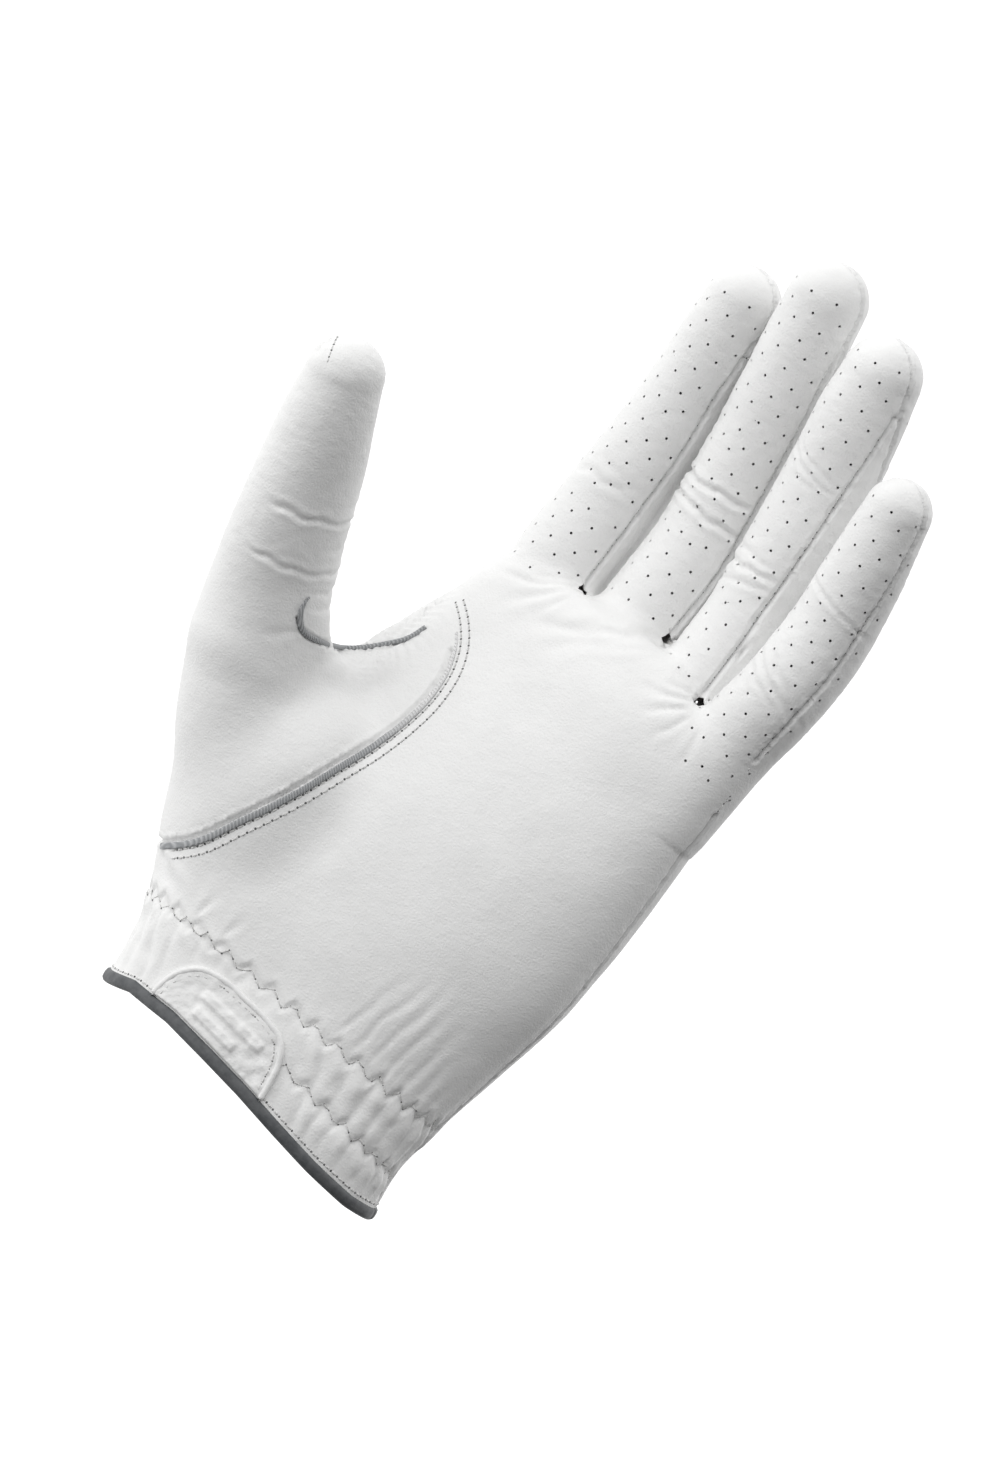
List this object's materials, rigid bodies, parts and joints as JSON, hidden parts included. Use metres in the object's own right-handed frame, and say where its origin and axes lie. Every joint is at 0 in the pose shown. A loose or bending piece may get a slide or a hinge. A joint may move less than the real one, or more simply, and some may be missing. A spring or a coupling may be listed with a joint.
{
  "type": "golf glove",
  "caption": "Left-hand leather golf glove in its worn shape, with perforated fingers, set-in thumb, elastic wrist and a closure tab.",
  "frame": {"origin": "middle of the wrist opening", "axes": "+Z from the wrist to the fingertips, -Y the way the palm faces, -X the thumb's side"},
  "size_m": [0.1225, 0.0631, 0.2092],
  "materials": {
    "white_leather": "soft semi-matte",
    "grey_trim": "matte",
    "dark_trim": "matte",
    "elastic": "matte",
    "hook_and_loop": "matte"
  },
  "bodies": {
    "hand": {"palm_panel": "white_leather", "thumb_panel": "white_leather", "back_panel": "white_leather", "web_gusset": "white_leather", "thenar_piping": "grey_trim", "web_binding": "grey_trim", "cuff_binding": "dark_trim", "slit_binding": "dark_trim", "palm_patch": "white_leather", "palm_patch_piping": "white_leather", "palm_elastic": "elastic", "back_elastic_thumb_side": "elastic", "back_elastic_little_side": "elastic", "size_label": "elastic", "loop_patch": "hook_and_loop", "tab_anchor": "white_leather", "thumb_bend_leather": "white_leather", "knuckle_leather": "white_leather"},
    "knuckles": {"finger_roots": "white_leather", "index_middle_fourchette": "white_leather", "middle_ring_fourchette": "white_leather", "ring_little_fourchette": "white_leather", "index_bend_leather": "white_leather", "middle_bend_leather": "white_leather", "ring_bend_leather": "white_leather", "little_bend_leather": "white_leather"},
    "index": {"index_wrap": "white_leather", "index_outer_fourchette": "white_leather"},
    "middle": {"middle_front": "white_leather", "middle_back": "white_leather", "middle_inner_fourchette": "white_leather", "middle_outer_fourchette": "white_leather"},
    "ring": {"ring_front": "white_leather", "ring_back": "white_leather", "ring_inner_fourchette": "white_leather", "ring_outer_fourchette": "white_leather"},
    "little": {"little_front": "white_leather", "little_back": "white_leather", "little_inner_fourchette": "white_leather"},
    "thumb_tip": {"thumb_tip_front": "white_leather", "thumb_tip_back": "white_leather"},
    "tab": {"closure_tab": "white_leather", "tab_lining": "elastic", "hook_patch": "hook_and_loop", "tab_emblem": "grey_trim"}
  },
  "joints": [
    {"name": "knuckle_fold", "type": "hinge", "parent": "hand", "child": "knuckles", "pos_m": [0.009, -0.0015, 0.1045], "axis": [0.9302, -0.2901, -0.2249], "range_deg": [0, 50], "deforming": ["knuckle_leather"]},
    {"name": "index_curl", "type": "hinge", "parent": "knuckles", "child": "index", "pos_m": [-0.01207, 0.01067, 0.15], "axis": [0.9201, -0.3901, -0.035], "range_deg": [0, 75], "deforming": ["index_bend_leather"]},
    {"name": "middle_curl", "type": "hinge", "parent": "knuckles", "child": "middle", "pos_m": [0.00666, 0.0019, 0.152], "axis": [0.8796, -0.4748, 0.028], "range_deg": [0, 75], "deforming": ["middle_bend_leather"]},
    {"name": "ring_curl", "type": "hinge", "parent": "knuckles", "child": "ring", "pos_m": [0.02352, -0.0095, 0.147], "axis": [0.8601, -0.51, 0.012], "range_deg": [0, 75], "deforming": ["ring_bend_leather"]},
    {"name": "little_curl", "type": "hinge", "parent": "knuckles", "child": "little", "pos_m": [0.03756, -0.02436, 0.141], "axis": [0.8208, -0.5605, -0.1101], "range_deg": [0, 75], "deforming": ["little_bend_leather"]},
    {"name": "thumb_bend", "type": "hinge", "parent": "hand", "child": "thumb_tip", "pos_m": [-0.05905, -0.01235, 0.0965], "axis": [0.6451, 0.7103, 0.2816], "range_deg": [0, 25], "deforming": ["thumb_bend_leather"]},
    {"name": "tab_peel", "type": "hinge", "parent": "hand", "child": "tab", "pos_m": [-0.01485, 0.0229, 0.0205], "axis": [0, 0, 1], "range_deg": [0, 120]}
  ]
}
